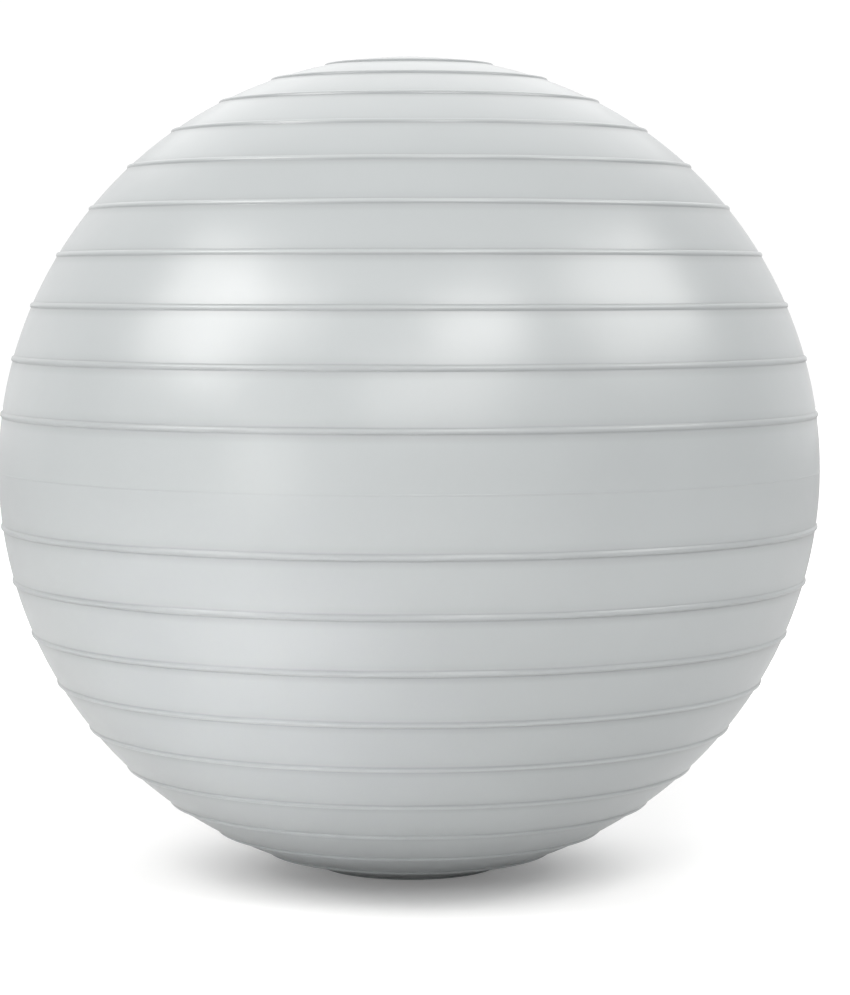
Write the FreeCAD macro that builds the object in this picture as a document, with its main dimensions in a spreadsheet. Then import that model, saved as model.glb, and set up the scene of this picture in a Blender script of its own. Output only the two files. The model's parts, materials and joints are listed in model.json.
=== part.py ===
import FreeCAD, Part
import os
import Sketcher

# An inflated exercise ball: a thin ribbed skin, a valve seat bonded into it and a push-in plug.
#
# Millimetres. +Z is up, along the ball's polar axis, and the origin is on the floor, at the middle
# of the patch that the ball flattens under its own weight. The valve is at the back, on +Y.
# Each body is modelled about the centre of the ball, and its Placement lifts it to that height.
# The seat and the plug are modelled with +Z along the valve, pointing out of the ball.

SIZES = [
    ("ball_radius", 325, "skin's outer radius between the ribs, inflated"),
    ("skin", 0.8, "skin's thickness, stretched by inflation"),
    ("patch_radius", 32, "flat patch on the floor"),
    ("rib_pairs", 10, "ribs above the parting line, with as many below"),
    ("rib_step", 7.85, "degrees of latitude from one rib to the next, above the parting line"),
    ("lower_rib_step", 7.74, "the same below it, where the ball sags a little"),
    ("rib_height", 1.5, "how far a rib stands out of the skin"),
    ("rib_width", 4.6, "width of a rib at its foot"),
    ("parting_height", 0.25, "mould's parting line, round the equator"),
    ("parting_width", 1.6, "width of the parting line"),
    ("neck_radius", 10, "valve seat's neck, which fills the opening in the skin"),
    ("flange_radius", 17, "valve seat's flange, bonded to the inside of the skin"),
    ("flange_rim", 1.2, "flange's thickness at its rim"),
    ("cup_floor", 1.6, "seat's thickness under the plug's head"),
    ("tube_radius", 5.6, "outside of the valve tube"),
    ("tube_tail", 6, "tube beyond the shoulder of its bore"),
    ("recess_radius", 7.5, "recess around the plug's head, with room for a plug puller"),
    ("head_sink", 0.4, "head's top below the outside of the ball"),
    ("head_radius", 5.5, "plug's head"),
    ("head_height", 2.4, "thickness of the plug's head"),
    ("head_round", 0.6, "rounding of the head's two edges"),
    ("barrel_radius", 3.1, "part of the plug that seals"),
    ("barrel_length", 14, "length of the barrel"),
    ("shoulder_length", 2, "cone from the barrel down to the stem"),
    ("stem_radius", 1.9, "stem at the shoulder"),
    ("tip_radius", 1.75, "stem at its end"),
    ("tip_round", 1.2, "rounding of the stem's end"),
    ("stem_length", 33.6, "stem from the shoulder to its end"),
    ("plug_clearance", 0.05, "gap around the barrel in its bore"),
    ("shoulder_gap", 0.3, "gap under the shoulder, so that the head seats first"),
]

CENTRE_HEIGHT = "sqrt(Sizes.ball_radius^2 - Sizes.patch_radius^2)"
INNER_RADIUS = "(Sizes.ball_radius - Sizes.skin)"
VALVE_LATITUDE = "Sizes.rib_step / 2"
HEAD_TOP = "(Sizes.ball_radius - Sizes.head_sink)"
SEAT_FLOOR = f"({HEAD_TOP} - Sizes.head_height)"
BARREL_END = f"({SEAT_FLOOR} - Sizes.barrel_length)"
SHOULDER_END = f"({BARREL_END} - Sizes.shoulder_length)"

X_AXIS = FreeCAD.Vector(1, 0, 0)
FULL_TURN = 360
ORIGIN_POINT = (-1, 1)
VERTICAL_AXIS = -2
START, END, CENTRE = 1, 2, 3


def add_sheet(doc):
    """The driving dimensions, one to a row: alias, value and what it measures."""
    sheet = doc.addObject("Spreadsheet::Sheet", "Sizes")
    for row, (alias, size, note) in enumerate(SIZES, start=1):
        sheet.set(f"A{row}", alias)
        sheet.set(f"B{row}", str(size))
        sheet.set(f"C{row}", note)
        sheet.setAlias(f"B{row}", alias)
    doc.recompute()
    return sheet


def attach(feature, body, role):
    """Lays a sketch or a primitive on one of its body's origin planes."""
    plane = next(item for item in body.Origin.OriginFeatures if item.Role == role)
    feature.AttachmentSupport = [(plane, "")]
    feature.MapMode = "FlatFace"


def bind(sketch, kind, elements, expression):
    """Adds a sketch dimension that takes its value from the sheet."""
    value = float(sketch.evalExpression(expression))
    index = sketch.addConstraint(Sketcher.Constraint(kind, *elements, value))
    sketch.setExpression(f"Constraints[{index}]", expression)


def section(body, name, corners, arcs):
    """Draws a closed half-section beside the vertical axis, on the body's XZ plane.

    corners holds (x, z) expressions. A corner on an arc has None for the one that the arc settles.
    arcs maps a side's number to the radius of an arc about the centre of the ball that runs
    clockwise along that side.
    """
    sketch = body.newObject("Sketcher::SketchObject", name)
    attach(sketch, body, "XZ_Plane")
    points = []
    for number, corner in enumerate(corners):
        x, z = (None if text is None else float(sketch.evalExpression(text)) for text in corner)
        if None in corner:
            radius = float(sketch.evalExpression(arcs.get(number, arcs.get(number - 1))))
            x = (radius**2 - z**2) ** 0.5 if x is None else x
            z = (radius**2 - x**2) ** 0.5 if z is None else z
        points.append(FreeCAD.Vector(x, z, 0))
    ends = []
    for side, first in enumerate(points):
        last = points[(side + 1) % len(points)]
        if side in arcs:
            ends.append(add_arc(sketch, first, last, arcs[side]))
        else:
            ends.append(add_line(sketch, first, last))
    for side, (_, last_end) in enumerate(ends):
        next_start = ends[(side + 1) % len(ends)][0]
        sketch.addConstraint(Sketcher.Constraint("Coincident", *last_end, *next_start))
    for (across, up), (corner, _) in zip(corners, ends):
        if across == "0":
            sketch.addConstraint(Sketcher.Constraint("PointOnObject", *corner, VERTICAL_AXIS))
        elif across is not None:
            bind(sketch, "DistanceX", (*ORIGIN_POINT, *corner), across)
        if up is not None:
            bind(sketch, "DistanceY", (*ORIGIN_POINT, *corner), up)
    return sketch


def add_line(sketch, first, last):
    """Adds one straight side and returns its two ends."""
    line = sketch.addGeometry(Part.LineSegment(first, last))
    return (line, START), (line, END)


def add_arc(sketch, first, last, radius):
    """Adds a clockwise arc about the centre of the ball and returns its ends in drawing order."""
    circle = Part.Circle(FreeCAD.Vector(0, 0, 0), FreeCAD.Vector(0, 0, 1), first.Length)
    arc = sketch.addGeometry(Part.ArcOfCircle(circle, circle.parameter(last), circle.parameter(first)))
    sketch.addConstraint(Sketcher.Constraint("Coincident", arc, CENTRE, *ORIGIN_POINT))
    bind(sketch, "Radius", (arc,), radius)
    return (arc, END), (arc, START)


def turn(body, kind, name, sketch):
    """Turns a section a full turn about its vertical axis, to add or to cut."""
    feature = body.newObject(f"PartDesign::{kind}", name)
    feature.Profile = sketch
    feature.ReferenceAxis = (sketch, ["V_Axis"])
    feature.Angle = FULL_TURN
    return feature


def add_bead(body, name, latitude, height, width):
    """Adds a bead round the ball: a ring whose round section shows as a low arc of that size."""
    tube = f"({width}^2 / (8 * {height}) + {height} / 2)"
    spine = f"(Sizes.ball_radius + {height} - {tube})"
    ring = body.newObject("PartDesign::AdditiveTorus", name)
    attach(ring, body, "XY_Plane")
    ring.setExpression("Radius1", f"{spine} * cos({latitude} * 1 deg)")
    ring.setExpression("Radius2", tube)
    ring.setExpression(".AttachmentOffset.Base.z", f"{spine} * sin({latitude} * 1 deg)")


def round_edges(body, name, radius, rings):
    """Fillets the circular edges of the given (radius, height) expressions."""
    body.Document.recompute()
    base = body.Tip
    edges = []
    for across, up in rings:
        wanted_radius = float(body.evalExpression(across))
        wanted_height = float(body.evalExpression(up))
        for number, edge in enumerate(base.Shape.Edges, start=1):
            curve = edge.Curve
            if not isinstance(curve, Part.Circle):
                continue
            if abs(curve.Radius - wanted_radius) < 1e-3 and abs(curve.Center.z - wanted_height) < 1e-3:
                edges.append(f"Edge{number}")
    if len(edges) != len(rings):
        raise ValueError(f"{name}: found {len(edges)} edges for {len(rings)} rings")
    fillet = body.newObject("PartDesign::Fillet", name)
    fillet.Base = (base, edges)
    fillet.setExpression("Radius", radius)


def check_cut(body, before, name):
    """Stops if the last cut took nothing away."""
    body.Document.recompute()
    if body.Shape.Volume >= before:
        raise ValueError(f"{name} cuts nothing")


def make_ball_shell(doc):
    """The skin: a round solid with its ribs, hollowed out and opened for the valve."""
    body = doc.addObject("PartDesign::Body", "ball_shell")
    outside = section(
        body,
        "outside_section",
        [("0", None), (None, f"-{CENTRE_HEIGHT}"), ("0", f"-{CENTRE_HEIGHT}")],
        {0: "Sizes.ball_radius"},
    )
    turn(body, "Revolution", "outside", outside)
    for rib in range(1, int(doc.Sizes.rib_pairs) + 1):
        for side, step in (("upper", "Sizes.rib_step"), ("lower", "-Sizes.lower_rib_step")):
            latitude = f"{step} * {rib}"
            add_bead(body, f"{side}_rib_{rib}", latitude, "Sizes.rib_height", "Sizes.rib_width")
    add_bead(body, "parting_line", "0", "Sizes.parting_height", "Sizes.parting_width")
    doc.recompute()

    solid_volume = body.Shape.Volume
    inner_floor = f"-({CENTRE_HEIGHT} - Sizes.skin)"
    inside = section(
        body,
        "inside_section",
        [("0", None), (None, inner_floor), ("0", inner_floor)],
        {0: INNER_RADIUS},
    )
    turn(body, "Groove", "air_space", inside)
    check_cut(body, solid_volume, "air_space")

    closed_volume = body.Shape.Volume
    opening = body.newObject("Sketcher::SketchObject", "valve_opening_outline")
    attach(opening, body, "XZ_Plane")
    opening.AttachmentOffset = FreeCAD.Placement(FreeCAD.Vector(), FreeCAD.Rotation(X_AXIS, 1))
    opening.setExpression(".AttachmentOffset.Rotation.Angle", f"{VALVE_LATITUDE} * 1 deg")
    round_outline = Part.Circle(FreeCAD.Vector(0, 0, 0), FreeCAD.Vector(0, 0, 1), doc.Sizes.neck_radius)
    circle = opening.addGeometry(round_outline)
    opening.addConstraint(Sketcher.Constraint("Coincident", circle, CENTRE, *ORIGIN_POINT))
    bind(opening, "Radius", (circle,), "Sizes.neck_radius")
    pocket = body.newObject("PartDesign::Pocket", "valve_opening")
    pocket.Profile = opening
    pocket.Type = "ThroughAll"
    check_cut(body, closed_volume, "valve_opening")
    return body


def make_valve_seat(doc):
    """Soft insert: a neck flush with the skin, a flange bonded inside it and a tube for the plug."""
    body = doc.addObject("PartDesign::Body", "valve_seat")
    flange_floor = f"(sqrt({INNER_RADIUS}^2 - Sizes.flange_radius^2) - Sizes.flange_rim)"
    bore = "(Sizes.barrel_radius + Sizes.plug_clearance)"
    stem_bore = "(Sizes.stem_radius + 2 * Sizes.plug_clearance)"
    cone_top = f"({BARREL_END} - Sizes.shoulder_gap)"
    cone_end = f"({SHOULDER_END} - Sizes.shoulder_gap)"
    tube_end = f"({cone_end} - Sizes.tube_tail)"
    cup_underside = f"({SEAT_FLOOR} - Sizes.cup_floor)"
    profile = section(
        body,
        "seat_section",
        [
            ("Sizes.recess_radius", None),
            ("Sizes.neck_radius", None),
            ("Sizes.neck_radius", None),
            ("Sizes.flange_radius", None),
            ("Sizes.flange_radius", flange_floor),
            ("Sizes.neck_radius", flange_floor),
            ("Sizes.neck_radius", cup_underside),
            ("Sizes.tube_radius", cup_underside),
            ("Sizes.tube_radius", tube_end),
            (stem_bore, tube_end),
            (stem_bore, cone_end),
            (bore, cone_top),
            (bore, SEAT_FLOOR),
            ("Sizes.recess_radius", SEAT_FLOOR),
        ],
        {0: "Sizes.ball_radius", 2: INNER_RADIUS},
    )
    turn(body, "Revolution", "seat", profile)
    return body


def make_plug(doc):
    """The stopper: a flat head, the barrel that seals, a shoulder and a long guide stem."""
    body = doc.addObject("PartDesign::Body", "plug")
    tip = f"({SHOULDER_END} - Sizes.stem_length)"
    profile = section(
        body,
        "plug_section",
        [
            ("0", HEAD_TOP),
            ("Sizes.head_radius", HEAD_TOP),
            ("Sizes.head_radius", SEAT_FLOOR),
            ("Sizes.barrel_radius", SEAT_FLOOR),
            ("Sizes.barrel_radius", BARREL_END),
            ("Sizes.stem_radius", SHOULDER_END),
            ("Sizes.tip_radius", tip),
            ("0", tip),
        ],
        {},
    )
    turn(body, "Revolution", "stopper", profile)
    head_edges = [("Sizes.head_radius", HEAD_TOP), ("Sizes.head_radius", SEAT_FLOOR)]
    round_edges(body, "head_rounding", "Sizes.head_round", head_edges)
    round_edges(body, "tip_rounding", "Sizes.tip_round", [("Sizes.tip_radius", tip)])
    return body


def place(body, along_valve):
    """Lifts a body to the height of the ball's centre, and turns a valve body to face the back."""
    if along_valve:
        body.Placement = FreeCAD.Placement(FreeCAD.Vector(), FreeCAD.Rotation(X_AXIS, -90))
        body.setExpression(".Placement.Rotation.Angle", f"({VALVE_LATITUDE} - 90) * 1 deg")
    body.setExpression(".Placement.Base.z", CENTRE_HEIGHT)


def check(doc, bodies):
    """Stops if any object failed to build, or any body isn't one sound solid."""
    for item in doc.Objects:
        if "Invalid" in item.State or "Error" in item.State:
            raise ValueError(f"{item.Name} failed: {item.State}")
    for body in bodies:
        shape = body.Shape
        if shape.isNull() or not shape.isValid() or len(shape.Solids) != 1:
            raise ValueError(f"{body.Label} isn't one valid solid")


def main():
    doc = FreeCAD.newDocument("exercise_ball")
    add_sheet(doc)
    shell = make_ball_shell(doc)
    seat = make_valve_seat(doc)
    plug = make_plug(doc)
    place(shell, along_valve=False)
    place(seat, along_valve=True)
    place(plug, along_valve=True)
    doc.recompute()
    bodies = [shell, seat, plug]
    check(doc, bodies)
    os.makedirs("parts", exist_ok=True)
    for body in bodies:
        body.Shape.exportStep(f"parts/{body.Label}.step")
        box = body.Shape.BoundBox
        print(body.Label, round(body.Shape.Volume, 1), "mm3", box)


main()
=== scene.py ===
import json
import math

import bmesh
import bpy
from mathutils import Matrix, Vector, noise


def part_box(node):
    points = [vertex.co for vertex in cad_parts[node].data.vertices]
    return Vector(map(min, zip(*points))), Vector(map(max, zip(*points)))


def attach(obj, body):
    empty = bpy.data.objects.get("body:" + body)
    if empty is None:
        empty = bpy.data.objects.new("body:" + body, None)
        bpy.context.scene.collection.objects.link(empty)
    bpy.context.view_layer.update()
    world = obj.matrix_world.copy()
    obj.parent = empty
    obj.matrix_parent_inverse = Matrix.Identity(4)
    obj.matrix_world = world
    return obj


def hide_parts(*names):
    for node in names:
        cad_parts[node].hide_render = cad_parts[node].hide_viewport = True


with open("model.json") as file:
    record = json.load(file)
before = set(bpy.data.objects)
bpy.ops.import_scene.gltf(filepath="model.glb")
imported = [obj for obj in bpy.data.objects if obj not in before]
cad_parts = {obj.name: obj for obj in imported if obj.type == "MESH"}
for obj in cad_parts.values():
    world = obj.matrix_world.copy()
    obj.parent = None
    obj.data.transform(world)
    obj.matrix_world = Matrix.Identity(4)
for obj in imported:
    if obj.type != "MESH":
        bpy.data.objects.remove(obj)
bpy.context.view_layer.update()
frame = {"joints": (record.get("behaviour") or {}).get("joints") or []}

# An inflated exercise ball, in metres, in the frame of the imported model: +Z is up along the ball's
# polar axis, the floor is z = 0 and the valve is at the back, on +Y.

# Moulded sizes, the same as the CAD model's.
SKIN = 0.0008
RIB_PAIRS = 10
RIB_STEP = math.radians(7.85)
LOWER_RIB_STEP = math.radians(7.74)
RIB_HEIGHT = 0.0015
RIB_WIDTH = 0.0046
PARTING_HEIGHT = 0.00025
PARTING_WIDTH = 0.0016
BEAD_FILLET = 0.08
NECK_RADIUS = 0.010
FLANGE_RADIUS = 0.017
FLANGE_RIM = 0.0012
CUP_FLOOR = 0.0016
TUBE_RADIUS = 0.0056
TUBE_TAIL = 0.006
RECESS_RADIUS = 0.0075
HEAD_SINK = 0.0004
HEAD_RADIUS = 0.0055
HEAD_HEIGHT = 0.0024
BARREL_RADIUS = 0.0031
BARREL_LENGTH = 0.014
SHOULDER_LENGTH = 0.002
STEM_RADIUS = 0.0019
STEM_LENGTH = 0.0336
TIP_RADIUS = 0.00175
PLUG_CLEARANCE = 0.00005
SHOULDER_GAP = 0.0003

# The ball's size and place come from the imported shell. Its widest circle is the parting line.
SHELL_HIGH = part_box("ball_shell")[1]
BALL_RADIUS = SHELL_HIGH.x - PARTING_HEIGHT
CENTRE = Vector((0, 0, SHELL_HIGH.z - BALL_RADIUS))
VALVE_AXIS = Vector(frame["joints"][0]["axis"]).normalized()
VALVE_FRAME = Matrix.Translation(CENTRE) @ VALVE_AXIS.to_track_quat("Z", "X").to_matrix().to_4x4()
VALVE_FRAME_INVERSE = VALVE_FRAME.inverted()

# Unevenness of the blown-up skin: features to a ball radius, and half the depth of each. Towards the valve
# it fades out between two angles from the valve's axis, in radians.
SLOW_FEATURES = 1.9
SLOW_DEPTH = 0.00022
LOCAL_FEATURES = 6.5
LOCAL_DEPTH = 0.00007
CALM_ANGLES = (0.06, 0.30)

# Wander of a rib and of the parting line up and down. Part of the parting line's full height that it has
# on average, how much that part changes round the ball, and the least of it.
RIB_DRIFT = 0.00025
PARTING_DRIFT = 0.0004
PARTING_MEAN = 0.45
PARTING_CHANGE = 0.5
PARTING_LEAST = 0.1

# Crests are lighter between these latitudes in degrees and beyond, partly wear and partly a painted highlight
# of light from above, and the parting line is darker along its bead.
LIGHTER_CREST_LATITUDES = (15, 40)
PARTING_DARKENING = 0.4

# Painted shade beside a rib: a darker line with a faint spread. The line above it has one width. The line
# under it is wider away from the rib, and gets stronger between two latitudes in degrees, where the ball
# faces down and is painted darker.
LINE_WIDTH_ABOVE = 0.0007
LINE_ABOVE = 0.35
LINE_WIDTHS_BELOW = (0.0008, 0.0016)
LINE_BELOW = 0.45
LINE_BELOW_HIDDEN = 0.40
HIDDEN_LATITUDES = (0, 50)

# The line under a rib lies this part of the rib's width below its middle, less where the ball faces down.
LINE_PLACE = 0.48
LINE_PLACE_HIDDEN = 0.12

# The faint spread of painted shade: its width, and its strength above and below a rib.
SPREAD_WIDTH = 0.0024
SPREAD_ABOVE = 0.25
SPREAD_BELOW = 0.30

# Radius of the round shoulder where the skin leaves the floor.
SHOULDER_ROUND = 0.050
SHOULDER_START = math.sqrt((BALL_RADIUS - SHOULDER_ROUND) ** 2 - (CENTRE.z - SHOULDER_ROUND) ** 2)
SHOULDER_END = SHOULDER_START * BALL_RADIUS / (BALL_RADIUS - SHOULDER_ROUND)

# Mesh density.
COLUMNS = 180
BAND_ROWS = 7
CAP_ROWS = 9
SHOULDER_ROWS = 4
INNER_COLUMNS = 60
INNER_ROWS = 60
LATHE_COLUMNS = 96
FILLET_STEPS = 5

# The skin's grid stops this far from the valve's axis, and rings round the valve fill the rest.
VALVE_CLEAR = 0.014

# Rounding of the lips round the valve, and the gap that keeps the seat clear of the skin.
LIP_ROUND = 0.0003
SEAM = 0.00003


# Shape of the skin ---------------------------------------------------------------------------

def smooth_step(low, high, value):
    """0 below low, 1 above high, with a soft change between them."""
    part = min(max((value - low) / (high - low), 0.0), 1.0)
    return part * part * (3 - 2 * part)


def bead(distance, height, width):
    """Height of a moulded bead at this distance from its middle, with a small fillet where it meets the skin.

    The bead's section is an arc, and BEAD_FILLET is the fillet's size as a part of the bead's height.
    """
    radius = width**2 / (8 * height) + height / 2
    fillet = BEAD_FILLET * height
    rise = math.sqrt(max(radius**2 - distance**2, 0)) - (radius - height)
    return fillet * math.log1p(math.exp(rise / fillet))


def rib_latitude(rib):
    """Latitude of a rib's middle. Ribs are numbered from the parting line, and below it downwards."""
    return rib * (RIB_STEP if rib > 0 else LOWER_RIB_STEP)


def bead_rows(width):
    """Distances from a bead's middle, as parts of its width, where its section needs a row."""
    half = [0.12, 0.23, 0.33, 0.42, 0.49, 0.55, 0.64, 0.78]
    return [-part * width for part in reversed(half)] + [0.0] + [part * width for part in half]


def outer_latitudes():
    """Latitudes of the rows of vertices outside the skin, from the floor patch to the top."""
    rows = []
    for rib in range(-RIB_PAIRS, RIB_PAIRS + 1):
        offsets = bead_rows(RIB_WIDTH if rib else PARTING_WIDTH)
        if rows:
            start = rows[-1]
            end = rib_latitude(rib) + offsets[0] / BALL_RADIUS
            rows += [start + (end - start) * step / BAND_ROWS for step in range(1, BAND_ROWS)]
        rows += [rib_latitude(rib) + offset / BALL_RADIUS for offset in offsets]
    pole = math.pi / 2
    top = [rows[-1] + (pole - rows[-1]) * step / CAP_ROWS for step in range(1, CAP_ROWS)]
    bottom = [-latitude for latitude in top]
    for row in range(SHOULDER_ROWS + 1):
        reach = SHOULDER_START + (SHOULDER_END - SHOULDER_START) * row / SHOULDER_ROWS
        bottom.append(-math.acos(reach / BALL_RADIUS))
    return sorted(bottom) + rows + top


def direction_at(latitude, azimuth):
    """Unit vector from the ball's centre at a latitude and azimuth."""
    level = math.cos(latitude)
    return Vector((level * math.cos(azimuth), level * math.sin(azimuth), math.sin(latitude)))


def unevenness(direction):
    """Slow departure of a blown-up skin from a true ball. It is never outward, and calm near the valve."""
    slow = noise.noise(direction * SLOW_FEATURES + Vector((3.1, 0.4, 7.7)))
    local = noise.noise(direction * LOCAL_FEATURES + Vector((9.3, 5.2, 1.8)))
    calm = smooth_step(*CALM_ANGLES, direction.angle(VALVE_AXIS))
    return -calm * (SLOW_DEPTH * (1 + slow) + LOCAL_DEPTH * (1 + local))


def outside_radius(direction):
    """Distance from the ball's centre to the outside of the skin, with the mask of lighter crests and the
    painted shade mask.
    """
    latitude = math.asin(max(-1.0, min(1.0, direction.z)))
    around = Vector((direction.x, direction.y)).normalized().to_3d() if abs(direction.z) < 1 else Vector()
    rib = round(latitude / (RIB_STEP if latitude > 0 else LOWER_RIB_STEP))
    radius = BALL_RADIUS + unevenness(direction)
    if abs(rib) > RIB_PAIRS:
        return radius, 0.0, 0.0
    if rib == 0:
        strength = PARTING_MEAN + PARTING_CHANGE * noise.noise(around * 2.3 + Vector((0, 0, 2.0)))
        distance = latitude * BALL_RADIUS + PARTING_DRIFT * noise.noise(around * 3.1)
        rise = max(min(strength, 1.0), PARTING_LEAST) * bead(distance, PARTING_HEIGHT, PARTING_WIDTH)
        # The parting line is darker along its bead, on the same mask as the painted shade.
        return radius + rise, 0.0, PARTING_DARKENING * rise / PARTING_HEIGHT
    drift = RIB_DRIFT * noise.noise(around * 1.6 + Vector((0, 0, rib * 5.3)))
    distance = (latitude - rib_latitude(rib)) * BALL_RADIUS + drift
    rise = bead(distance, RIB_HEIGHT, RIB_WIDTH)
    # Crests are painted lighter at high latitudes: partly wear, partly a painted highlight of light from
    # above.
    crest = min(rise / RIB_HEIGHT, 1.0) ** 2 * smooth_step(*LIGHTER_CREST_LATITUDES, abs(math.degrees(latitude)))
    # The third value is the painted shade beside this rib.
    return radius + rise, crest, painted_rib_shade(distance, latitude)


def painted_rib_shade(distance, latitude):
    """Painted shade beside a rib: a thin dark line and a faint spread above it, and more of both under it."""
    if distance > 0:
        beside = distance - 0.5 * RIB_WIDTH
        spread = SPREAD_ABOVE * math.exp(-max(beside, 0) / SPREAD_WIDTH)
        return LINE_ABOVE * math.exp(-((beside / LINE_WIDTH_ABOVE) ** 2)) + spread
    # Under a rib the painted shade grows where the ball faces down.
    hidden = smooth_step(*HIDDEN_LATITUDES, -math.degrees(latitude))
    beside = -distance - (LINE_PLACE - LINE_PLACE_HIDDEN * hidden) * RIB_WIDTH
    line = math.exp(-((beside / LINE_WIDTHS_BELOW[beside >= 0]) ** 2))
    spread = SPREAD_BELOW * math.exp(-max(beside, 0) / SPREAD_WIDTH)
    return (LINE_BELOW + LINE_BELOW_HIDDEN * hidden) * line + spread


def inside_radius(direction):
    """Distance from the ball's centre to the inside of the skin, which is smooth."""
    return BALL_RADIUS + unevenness(direction) - SKIN, 0.0, 0.0


def rest_on_floor(point, floor):
    """Flattens the skin where it stands on the floor, with a round shoulder beside the patch."""
    reach = math.hypot(point.x, point.y)
    if point.z > CENTRE.z or reach > SHOULDER_END:
        return point
    beyond = max(reach - SHOULDER_START, 0)
    height = SHOULDER_ROUND - math.sqrt(SHOULDER_ROUND**2 - beyond**2)
    return Vector((point.x, point.y, max(height + floor, point.z)))


# Mesh helpers --------------------------------------------------------------------------------

def finished(name, builder, material, body, node):
    """Turns a bmesh into a smooth piece that rides on a body and stands for a CAD node."""
    stray = [vertex for vertex in builder.verts if not vertex.link_faces]
    bmesh.ops.delete(builder, geom=stray, context="VERTS")
    bmesh.ops.recalc_face_normals(builder, faces=builder.faces)
    mesh = bpy.data.meshes.new(name)
    builder.to_mesh(mesh)
    builder.free()
    mesh.shade_smooth()
    mesh.materials.append(material)
    piece = bpy.data.objects.new(name, mesh)
    bpy.context.scene.collection.objects.link(piece)
    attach(piece, body)
    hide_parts(node)
    return piece


def valve_point(across, turn, along):
    """Point at a distance from the valve's axis, a turn round it and a distance from the ball's centre."""
    return VALVE_FRAME @ Vector((across * math.cos(turn), across * math.sin(turn), along))


def height_on_ball(across, depth=0.0):
    """Distance along the valve's axis to the sphere this deep in the skin, at a distance from the axis."""
    return math.sqrt((BALL_RADIUS - depth) ** 2 - across**2)


def turned_rings(builder, outline):
    """Adds a ring of vertices round the valve's axis for each (across, along) point of an outline."""
    turns = [2 * math.pi * column / LATHE_COLUMNS for column in range(LATHE_COLUMNS)]
    return [
        [builder.verts.new(valve_point(across, turn, along)) for turn in turns]
        for across, along in outline
    ]


def join_rings(builder, first, second):
    """Fills the strip between two rings that have the same number of vertices."""
    for column in range(len(first)):
        beside = (column + 1) % len(first)
        builder.faces.new([first[column], first[beside], second[beside], second[column]])


def rounded(corners, closed):
    """Replaces each (across, along, fillet) corner of an outline by an arc of that radius."""
    points = []
    for number, (across, along, fillet) in enumerate(corners):
        corner = Vector((across, along))
        if fillet == 0 or (not closed and number in (0, len(corners) - 1)):
            points.append(corner)
            continue
        back = (Vector(corners[number - 1][:2]) - corner).normalized()
        ahead = (Vector(corners[(number + 1) % len(corners)][:2]) - corner).normalized()
        half = back.angle(ahead) / 2
        middle = corner + (back + ahead).normalized() * fillet / math.sin(half)
        start = corner + back * fillet / math.tan(half) - middle
        end = corner + ahead * fillet / math.tan(half) - middle
        parts = [step / FILLET_STEPS for step in range(FILLET_STEPS + 1)]
        points += [middle + start.lerp(end, part).normalized() * fillet for part in parts]
    return points


# Pieces --------------------------------------------------------------------------------------

def add_skin_face(builder, latitudes, columns, radius_at, floor):
    """Adds the outside or the inside of the skin and returns its ring just outside the valve's neck."""
    # Per-vertex masks: rib crests that are painted lighter, and painted shade beside the ribs with the darker
    # parting line.
    crest_layer = builder.verts.layers.float["crest"]
    foot_layer = builder.verts.layers.float["foot"]

    def vertex(direction):
        radius, crest, foot = radius_at(direction)
        made = builder.verts.new(rest_on_floor(CENTRE + direction * radius, floor))
        made[crest_layer] = crest
        made[foot_layer] = foot
        return made

    turns = [2 * math.pi * column / columns for column in range(columns)]
    grid = [[vertex(direction_at(latitude, turn)) for turn in turns] for latitude in latitudes]
    border = {}
    for row in range(len(grid) - 1):
        for column in range(columns):
            beside = (column + 1) % columns
            corners = [grid[row][column], grid[row][beside], grid[row + 1][beside], grid[row + 1][column]]
            if any(from_valve(corner) < VALVE_CLEAR for corner in corners):
                border.update((corner, None) for corner in corners if from_valve(corner) >= VALVE_CLEAR)
            else:
                builder.faces.new(corners)
    for ring, up in ((grid[0], -1), (grid[-1], 1)):
        pole = vertex(Vector((0, 0, up)))
        for column in range(columns):
            builder.faces.new([pole, ring[column], ring[(column + 1) % columns]])
    border = [corner for corner in border if corner.link_faces]
    across = NECK_RADIUS + 4 * LIP_ROUND
    depth = BALL_RADIUS - radius_at(VALVE_AXIS)[0]
    [first_ring] = turned_rings(builder, [(across, height_on_ball(across, depth))])
    zip_rings(builder, border, first_ring)
    return first_ring


def from_valve(vertex):
    """Distance of a vertex from the valve's axis, or a large one on the far side of the ball."""
    local = VALVE_FRAME_INVERSE @ vertex.co
    return math.hypot(local.x, local.y) if local.z > 0 else BALL_RADIUS


def turn_of(vertex):
    """Turn of a vertex round the valve's axis."""
    local = VALVE_FRAME_INVERSE @ vertex.co
    return math.atan2(local.y, local.x) % (2 * math.pi)


def zip_rings(builder, outer, inner):
    """Fills the strip between two rings round the valve with different numbers of vertices."""
    outer = sorted(outer, key=turn_of)
    inner = sorted(inner, key=turn_of)
    a = b = 0
    while a < len(outer) or b < len(inner):
        next_outer = turn_of(outer[a % len(outer)]) + (2 * math.pi if a >= len(outer) else 0)
        next_inner = turn_of(inner[b % len(inner)]) + (2 * math.pi if b >= len(inner) else 0)
        if b >= len(inner) or (a < len(outer) and next_outer <= next_inner):
            builder.faces.new([outer[a - 1], outer[a], inner[b - 1]])
            a += 1
        else:
            builder.faces.new([outer[a - 1], inner[b], inner[b - 1]])
            b += 1


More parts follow.
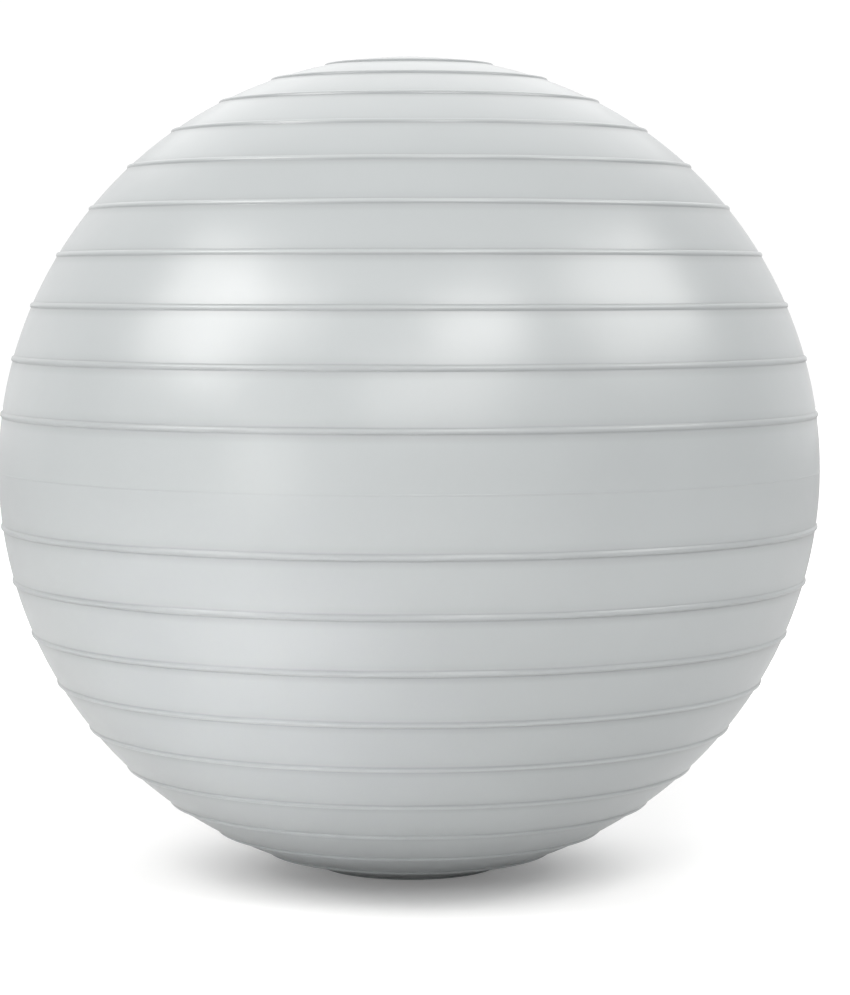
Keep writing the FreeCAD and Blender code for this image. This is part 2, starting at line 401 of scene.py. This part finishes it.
def make_skin(material):
    """The inflated skin: ribbed outside, smooth inside, with a rounded lip round the valve seat."""
    builder = bmesh.new()
    # Masks for the lighter crests and for the painted shade beside the ribs.
    builder.verts.layers.float.new("crest")
    builder.verts.layers.float.new("foot")
    outer_ring = add_skin_face(builder, outer_latitudes(), COLUMNS, outside_radius, 0.0)
    inner_latitudes = [math.pi * (row / INNER_ROWS - 0.5) for row in range(1, INNER_ROWS)]
    inner_ring = add_skin_face(builder, inner_latitudes, INNER_COLUMNS, inside_radius, SKIN)
    lip = rounded(
        [
            (NECK_RADIUS + 3 * LIP_ROUND, height_on_ball(NECK_RADIUS + 3 * LIP_ROUND), 0),
            (NECK_RADIUS, height_on_ball(NECK_RADIUS), LIP_ROUND),
            (NECK_RADIUS, height_on_ball(NECK_RADIUS, SKIN), 0),
        ],
        closed=False,
    )
    rings = [outer_ring, *turned_rings(builder, lip), inner_ring]
    for first, second in zip(rings, rings[1:]):
        join_rings(builder, first, second)
    skin = finished("ribbed_skin", builder, material, "ball", "ball_shell")


def make_seat(material):
    """The valve seat: a neck flush with the skin, a recess for the plug's head, a flange and a tube."""
    seat_floor = BALL_RADIUS - HEAD_SINK - HEAD_HEIGHT
    barrel_bore = BARREL_RADIUS + PLUG_CLEARANCE
    stem_bore = STEM_RADIUS + 2 * PLUG_CLEARANCE
    cone_top = seat_floor - BARREL_LENGTH - SHOULDER_GAP
    cone_end = cone_top - SHOULDER_LENGTH
    tube_end = cone_end - TUBE_TAIL
    flange_floor = height_on_ball(FLANGE_RADIUS, SKIN) - FLANGE_RIM
    cup_underside = seat_floor - CUP_FLOOR
    neck = NECK_RADIUS - SEAM
    welt_start, welt_end, welt_height = 0.0083, 0.0093, 0.0002
    outline = rounded(
        [
            (RECESS_RADIUS, height_on_ball(RECESS_RADIUS), 0.0004),
            (welt_start, height_on_ball(welt_start), 0.0001),
            (welt_start + welt_height, height_on_ball(welt_start) + welt_height, 0.0001),
            (welt_end - welt_height, height_on_ball(welt_end) + welt_height, 0.0001),
            (welt_end, height_on_ball(welt_end), 0.0001),
            (neck, height_on_ball(neck), LIP_ROUND),
            (neck, height_on_ball(neck, SKIN + SEAM), 0),
            (FLANGE_RADIUS, height_on_ball(FLANGE_RADIUS, SKIN + SEAM), 0.0002),
            (FLANGE_RADIUS, flange_floor, 0.0004),
            (neck, flange_floor, 0.0008),
            (neck, cup_underside, 0.0008),
            (TUBE_RADIUS, cup_underside, 0.0010),
            (TUBE_RADIUS, tube_end, 0.0008),
            (stem_bore, tube_end, 0.0004),
            (stem_bore, cone_end, 0),
            (barrel_bore, cone_top, 0),
            (barrel_bore, seat_floor, 0.0002),
            (RECESS_RADIUS, seat_floor, 0.0006),
        ],
        closed=True,
    )
    builder = bmesh.new()
    rings = turned_rings(builder, outline)
    for first, second in zip(rings, rings[1:] + rings[:1]):
        join_rings(builder, first, second)
    seat = finished("moulded_seat", builder, material, "ball", "valve_seat")


def make_plug(material):
    """The stopper: a flat head with its gate mark, the barrel, a shoulder and a long round-ended stem."""
    top = BALL_RADIUS - HEAD_SINK
    seat_floor = top - HEAD_HEIGHT
    barrel_end = seat_floor - BARREL_LENGTH
    shoulder_end = barrel_end - SHOULDER_LENGTH
    tip = shoulder_end - STEM_LENGTH
    dimple_radius, dimple_depth = 0.0016, 0.0003
    nub_radius, nub_height = 0.0005, 0.0002
    outline = rounded(
        [
            (0, top - dimple_depth + nub_height, 0),
            (nub_radius, top - dimple_depth + nub_height, 0.0001),
            (nub_radius, top - dimple_depth, 0.00008),
            (dimple_radius - dimple_depth, top - dimple_depth, 0.0002),
            (dimple_radius, top, 0.0002),
            (HEAD_RADIUS, top, 0.0006),
            (HEAD_RADIUS, seat_floor, 0.0006),
            (BARREL_RADIUS, seat_floor, 0.0003),
            (BARREL_RADIUS, barrel_end, 0.0006),
            (STEM_RADIUS, shoulder_end, 0.0008),
            (TIP_RADIUS, tip, 0.0012),
            (0, tip, 0),
        ],
        closed=False,
    )
    builder = bmesh.new()
    rings = turned_rings(builder, outline[1:-1])
    for first, second in zip(rings, rings[1:]):
        join_rings(builder, first, second)
    for ring, (_, along) in ((rings[0], outline[0]), (rings[-1], outline[-1])):
        middle = builder.verts.new(valve_point(0, 0, along))
        for column in range(LATHE_COLUMNS):
            builder.faces.new([middle, ring[column], ring[(column + 1) % LATHE_COLUMNS]])
    plug = finished("stopper", builder, material, "plug", "plug")


# Materials -----------------------------------------------------------------------------------

RANGE_SOCKETS = ("From Min", "From Max", "To Min", "To Max")


class Nodes:
    """A new material's node tree, with short ways to add the nodes used here."""

    def __init__(self, name):
        self.material = bpy.data.materials.new(name)
        self.material.use_nodes = True
        self.tree = self.material.node_tree
        self.shader = self.tree.nodes["Principled BSDF"]
        self.place = self.tree.nodes.new("ShaderNodeTexCoord").outputs["Object"]

    def link(self, source, target):
        self.tree.links.new(source, target)

    def noise(self, scale, detail, stretch=None):
        """Noise with this many features to a metre, stretched along the axes if asked."""
        place = self.place
        if stretch:
            mapping = self.tree.nodes.new("ShaderNodeMapping")
            mapping.inputs["Scale"].default_value = stretch
            self.link(place, mapping.inputs["Vector"])
            place = mapping.outputs["Vector"]
        node = self.tree.nodes.new("ShaderNodeTexNoise")
        node.inputs["Scale"].default_value = scale
        node.inputs["Detail"].default_value = detail
        self.link(place, node.inputs["Vector"])
        return node.outputs["Fac"]

    def spread(self, value, low, high, out_low, out_high):
        """Maps a value's range low to high onto another range, clamped."""
        node = self.tree.nodes.new("ShaderNodeMapRange")
        node.interpolation_type = "SMOOTHSTEP"
        for socket, number in zip(RANGE_SOCKETS, (low, high, out_low, out_high)):
            node.inputs[socket].default_value = number
        self.link(value, node.inputs["Value"])
        return node.outputs["Result"]

    def calculate(self, operation, first, second):
        """A math node on two values, each a socket or a number."""
        node = self.tree.nodes.new("ShaderNodeMath")
        node.operation = operation
        for socket, value in zip(node.inputs, (first, second)):
            if isinstance(value, (int, float)):
                socket.default_value = value
            else:
                self.link(value, socket)
        return node.outputs["Value"]

    def blend(self, factor, first, second):
        """Mixes two colours, each a socket or a tuple."""
        node = self.tree.nodes.new("ShaderNodeMix")
        node.data_type = "RGBA"
        self.link(factor, node.inputs["Factor"])
        for socket, colour in ((node.inputs[6], first), (node.inputs[7], second)):
            if isinstance(colour, tuple):
                socket.default_value = (*colour, 1.0)
            else:
                self.link(colour, socket)
        return node.outputs[2]

    def mask(self, name):
        """A per-vertex mask stored on the mesh."""
        node = self.tree.nodes.new("ShaderNodeAttribute")
        node.attribute_name = name
        return node.outputs["Fac"]

    def bump(self, height, distance, strength, under=None):
        """A bump of this height in metres, over another one if given."""
        node = self.tree.nodes.new("ShaderNodeBump")
        node.inputs["Distance"].default_value = distance
        node.inputs["Strength"].default_value = strength
        self.link(height, node.inputs["Height"])
        if under:
            self.link(under, node.inputs["Normal"])
        return node.outputs["Normal"]


def vinyl(name, light, dark, grain):
    """Soft satin PVC: a cool grey with faint clouding, moulded grain and handling marks, rib crests lighter
    from wear and a painted highlight, and painted shade beside the ribs.
    """
    nodes = Nodes(name)
    shader = nodes.shader
    clouds = nodes.spread(nodes.noise(5.0, detail=3.0), 0.30, 0.70, 0.0, 1.0)
    colour = nodes.blend(clouds, dark, light)
    speckle = nodes.spread(nodes.noise(420.0, detail=1.0), 0.62, 0.80, 0.0, 0.08)
    colour = nodes.blend(speckle, colour, tuple(0.90 * part for part in dark))
    # Lighter rib crests: partly wear, partly a painted highlight.
    colour = nodes.blend(nodes.mask("crest"), colour, tuple(1.14 * part for part in light))
    # Painted shade: dark lines and a faint spread beside the ribs, more under them, and the darker parting
    # line.
    colour = nodes.blend(nodes.mask("foot"), colour, tuple(0.72 * part for part in dark))
    nodes.link(colour, shader.inputs["Base Color"])

    # Below a roughness of about 0.275 the denoiser takes a surface for a mirror, so all of it is rougher.
    handling = nodes.noise(14.0, detail=3.0, stretch=(1.0, 1.0, 1.8))
    roughness = nodes.spread(handling, 0.35, 0.70, 0.29, 0.33)
    roughness = nodes.calculate("SUBTRACT", roughness, nodes.calculate("MULTIPLY", nodes.mask("crest"), 0.01))
    nodes.link(roughness, shader.inputs["Roughness"])

    peel = nodes.bump(nodes.noise(90.0, detail=1.0), 0.00008, 0.5)
    fine = nodes.bump(nodes.noise(grain, detail=1.0), 0.00001, 0.3, under=peel)
    nodes.link(fine, shader.inputs["Normal"])
    shader.inputs["IOR"].default_value = 1.53
    shader.inputs["Sheen Weight"].default_value = 0.03
    shader.inputs["Sheen Roughness"].default_value = 0.4
    return nodes.material


def polyethylene(name):
    """Milky white plug plastic: slightly see-through, with flow clouding and fine draw marks."""
    nodes = Nodes(name)
    shader = nodes.shader
    flow = nodes.spread(nodes.noise(160.0, detail=3.0, stretch=(1.0, 0.25, 1.0)), 0.3, 0.7, 0.0, 1.0)
    nodes.link(nodes.blend(flow, (0.66, 0.68, 0.69), (0.78, 0.79, 0.80)), shader.inputs["Base Color"])
    marks = nodes.noise(2600.0, detail=2.0, stretch=(1.0, 0.15, 1.0))
    nodes.link(nodes.spread(marks, 0.3, 0.7, 0.29, 0.38), shader.inputs["Roughness"])
    nodes.link(nodes.bump(marks, 0.00002, 0.5), shader.inputs["Normal"])
    shader.inputs["Subsurface Weight"].default_value = 0.35
    shader.inputs["Subsurface Radius"].default_value = (1.0, 0.95, 0.90)
    shader.inputs["Subsurface Scale"].default_value = 0.002
    shader.inputs["IOR"].default_value = 1.51
    return nodes.material


def studio_paper():
    """Pale floor: matt white with a very faint mottle.

    The camera sees it a little brighter than it is lit, and away from the ball it fades to white like
    a swept paper backdrop. Neither glow lights the ball.
    """
    nodes = Nodes("studio_paper")
    mottle = nodes.spread(nodes.noise(3.0, detail=3.0), 0.3, 0.7, 0.0, 1.0)
    nodes.link(nodes.blend(mottle, (0.85, 0.85, 0.85), (0.87, 0.87, 0.87)), nodes.shader.inputs["Base Color"])
    nodes.shader.inputs["Roughness"].default_value = 0.9
    nodes.shader.inputs["Specular IOR Level"].default_value = 0.1
    nodes.shader.inputs["Emission Color"].default_value = (1.0, 1.0, 1.0, 1.0)
    away = nodes.tree.nodes.new("ShaderNodeVectorMath")
    away.operation = "LENGTH"
    nodes.link(nodes.place, away.inputs["Vector"])
    glow = nodes.spread(away.outputs["Value"], *FLOOR_FADE, *FLOOR_GLOW)
    seen = nodes.tree.nodes.new("ShaderNodeLightPath").outputs["Is Camera Ray"]
    nodes.link(nodes.calculate("MULTIPLY", glow, seen), nodes.shader.inputs["Emission Strength"])
    return nodes.material


# Studio --------------------------------------------------------------------------------------

# Camera: distance from the ball's middle, elevation over it, focal length in millimetres and shift.
CAMERA_DISTANCE = 7.536 * BALL_RADIUS
CAMERA_ELEVATION = math.radians(3.48)
CAMERA_LENS = 111.1
CAMERA_SHIFT = (0.0160, -0.0303)

# Floor: half its width, then two distances from the ball and the glow that the camera sees at each.
FLOOR_HALF = 9.0
FLOOR_FADE = (0.7, 1.9)
FLOOR_GLOW = (0.18, 0.58)

# Brightness of the surround behind the ball and everywhere else. A direction's +Y part says where the
# room's brightness starts to rise, and where it reaches the backdrop's.
BACKDROP_GLOW = 1.02
ROOM_GLOW = 0.34
BACKDROP_EDGE = (0.15, 0.75)

# Soft boxes that face the ball's middle: turn to the right of the camera's side and height in degrees,
# width and height in metres, and power in watts.
SOFT_BOX_DISTANCE = 1.9
SOFT_BOXES = {
    "key_left": (-70, 37, 0.7, 1.0, 11.2),
    "tall_left": (-54, 33, 0.5, 1.0, 10.1),
    "near_left": (-36, 4, 0.6, 0.6, 3.8),
    "high_left": (-36, 40, 0.5, 0.5, 3.6),
    "low_front": (6, 22, 1.1, 0.5, 6.4),
    "high_front": (20, 38, 0.7, 0.5, 9.2),
    "key_right": (75, 37, 1.2, 0.85, 15.2),
}

# A small lamp that lights a pool of floor in front of the ball: its place, what it points at, its width
# in metres, its power in watts and the angle of its beam.
POOL_PLACE = (-0.40, -0.68, 0.80)
POOL_TARGET = (-0.28, -0.48, 0)
POOL_WIDTH = 0.15
POOL_POWER = 2.3
POOL_SPREAD = math.radians(35)

# Very wide suns that shine from these directions, with their strengths.
SUNS = {"fill": ((0.6, -0.4, 0.7), 0.18), "rear": ((0, 0.7, 0.7), 0.58)}
SUN_WIDTH = math.radians(60)


def add_camera():
    """The view of the reference, a little above the ball's middle."""
    data = bpy.data.cameras.new("camera")
    data.lens = CAMERA_LENS
    data.sensor_width = 36.0
    data.shift_x, data.shift_y = CAMERA_SHIFT
    camera = bpy.data.objects.new("camera", data)
    bpy.context.scene.collection.objects.link(camera)
    back = Vector((0, -math.cos(CAMERA_ELEVATION), math.sin(CAMERA_ELEVATION)))
    camera.location = CENTRE + back * CAMERA_DISTANCE
    camera.rotation_euler = (-back).to_track_quat("-Z", "Y").to_euler()
    bpy.context.scene.camera = camera


def add_light(name, kind, place, target, power):
    """A light that points from a place at a target and can't itself be seen. Returns its data."""
    light = bpy.data.objects.new(name, bpy.data.lights.new(name, kind))
    bpy.context.scene.collection.objects.link(light)
    light.location = place
    light.rotation_euler = (Vector(target) - Vector(place)).to_track_quat("-Z", "Y").to_euler()
    light.visible_camera = False
    light.data.energy = power
    return light.data


def add_soft_box(name, place, target, width, height, power):
    """A rectangular soft box. Returns its data."""
    box = add_light(name, "AREA", place, target, power)
    box.color = (1.0, 0.985, 0.970)
    box.shape = "RECTANGLE"
    box.size = width
    box.size_y = height
    return box


def add_floor():
    """A wide pale floor at z = 0."""
    builder = bmesh.new()
    corners = [(-1, -1), (1, -1), (1, 1), (-1, 1)]
    builder.faces.new([builder.verts.new((x * FLOOR_HALF, y * FLOOR_HALF, 0)) for x, y in corners])
    mesh = bpy.data.meshes.new("floor")
    builder.to_mesh(mesh)
    builder.free()
    mesh.materials.append(studio_paper())
    floor = bpy.data.objects.new("floor", mesh)
    bpy.context.scene.collection.objects.link(floor)


def add_surround():
    """A surround that lights the ball most from behind, and looks evenly white itself."""
    world = bpy.data.worlds.new("surround")
    world.use_nodes = True
    tree = world.node_tree
    direction = tree.nodes.new("ShaderNodeTexCoord").outputs["Generated"]
    parts = tree.nodes.new("ShaderNodeSeparateXYZ")
    glow = tree.nodes.new("ShaderNodeMapRange")
    glow.interpolation_type = "SMOOTHSTEP"
    for socket, number in zip(RANGE_SOCKETS, (*BACKDROP_EDGE, ROOM_GLOW, BACKDROP_GLOW)):
        glow.inputs[socket].default_value = number
    seen = tree.nodes.new("ShaderNodeMix")
    seen.inputs["B"].default_value = BACKDROP_GLOW
    tree.links.new(direction, parts.inputs["Vector"])
    tree.links.new(parts.outputs["Y"], glow.inputs["Value"])
    tree.links.new(tree.nodes.new("ShaderNodeLightPath").outputs["Is Camera Ray"], seen.inputs["Factor"])
    tree.links.new(glow.outputs["Result"], seen.inputs["A"])
    tree.links.new(seen.outputs["Result"], tree.nodes["Background"].inputs["Strength"])
    tree.nodes["Background"].inputs["Color"].default_value = (1.0, 1.0, 1.0, 1.0)
    bpy.context.scene.world = world


def add_studio():
    """Floor, surround, soft boxes, the pool lamp and two wide suns."""
    add_floor()
    add_surround()
    for name, (turn, rise, width, height, power) in SOFT_BOXES.items():
        place = CENTRE + direction_at(math.radians(rise), math.radians(turn - 90)) * SOFT_BOX_DISTANCE
        add_soft_box(name, place, CENTRE, width, height, power)
    add_soft_box("pool", POOL_PLACE, POOL_TARGET, POOL_WIDTH, POOL_WIDTH, POOL_POWER).spread = POOL_SPREAD
    for name, (place, strength) in SUNS.items():
        add_light(name, "SUN", place, (0, 0, 0), strength).angle = SUN_WIDTH
    bpy.context.scene.view_settings.view_transform = "Standard"


# Assembly ------------------------------------------------------------------------------------

SKIN_LIGHT = (0.348, 0.367, 0.373)
SKIN_DARK = (0.331, 0.349, 0.355)
SEAT_LIGHT = (0.300, 0.319, 0.325)
SEAT_DARK = (0.280, 0.299, 0.305)

add_camera()
add_studio()
make_skin(vinyl("vinyl_skin", SKIN_LIGHT, SKIN_DARK, grain=1100.0))
make_seat(vinyl("vinyl_seat", SEAT_LIGHT, SEAT_DARK, grain=1800.0))
make_plug(polyethylene("milky_polyethylene"))
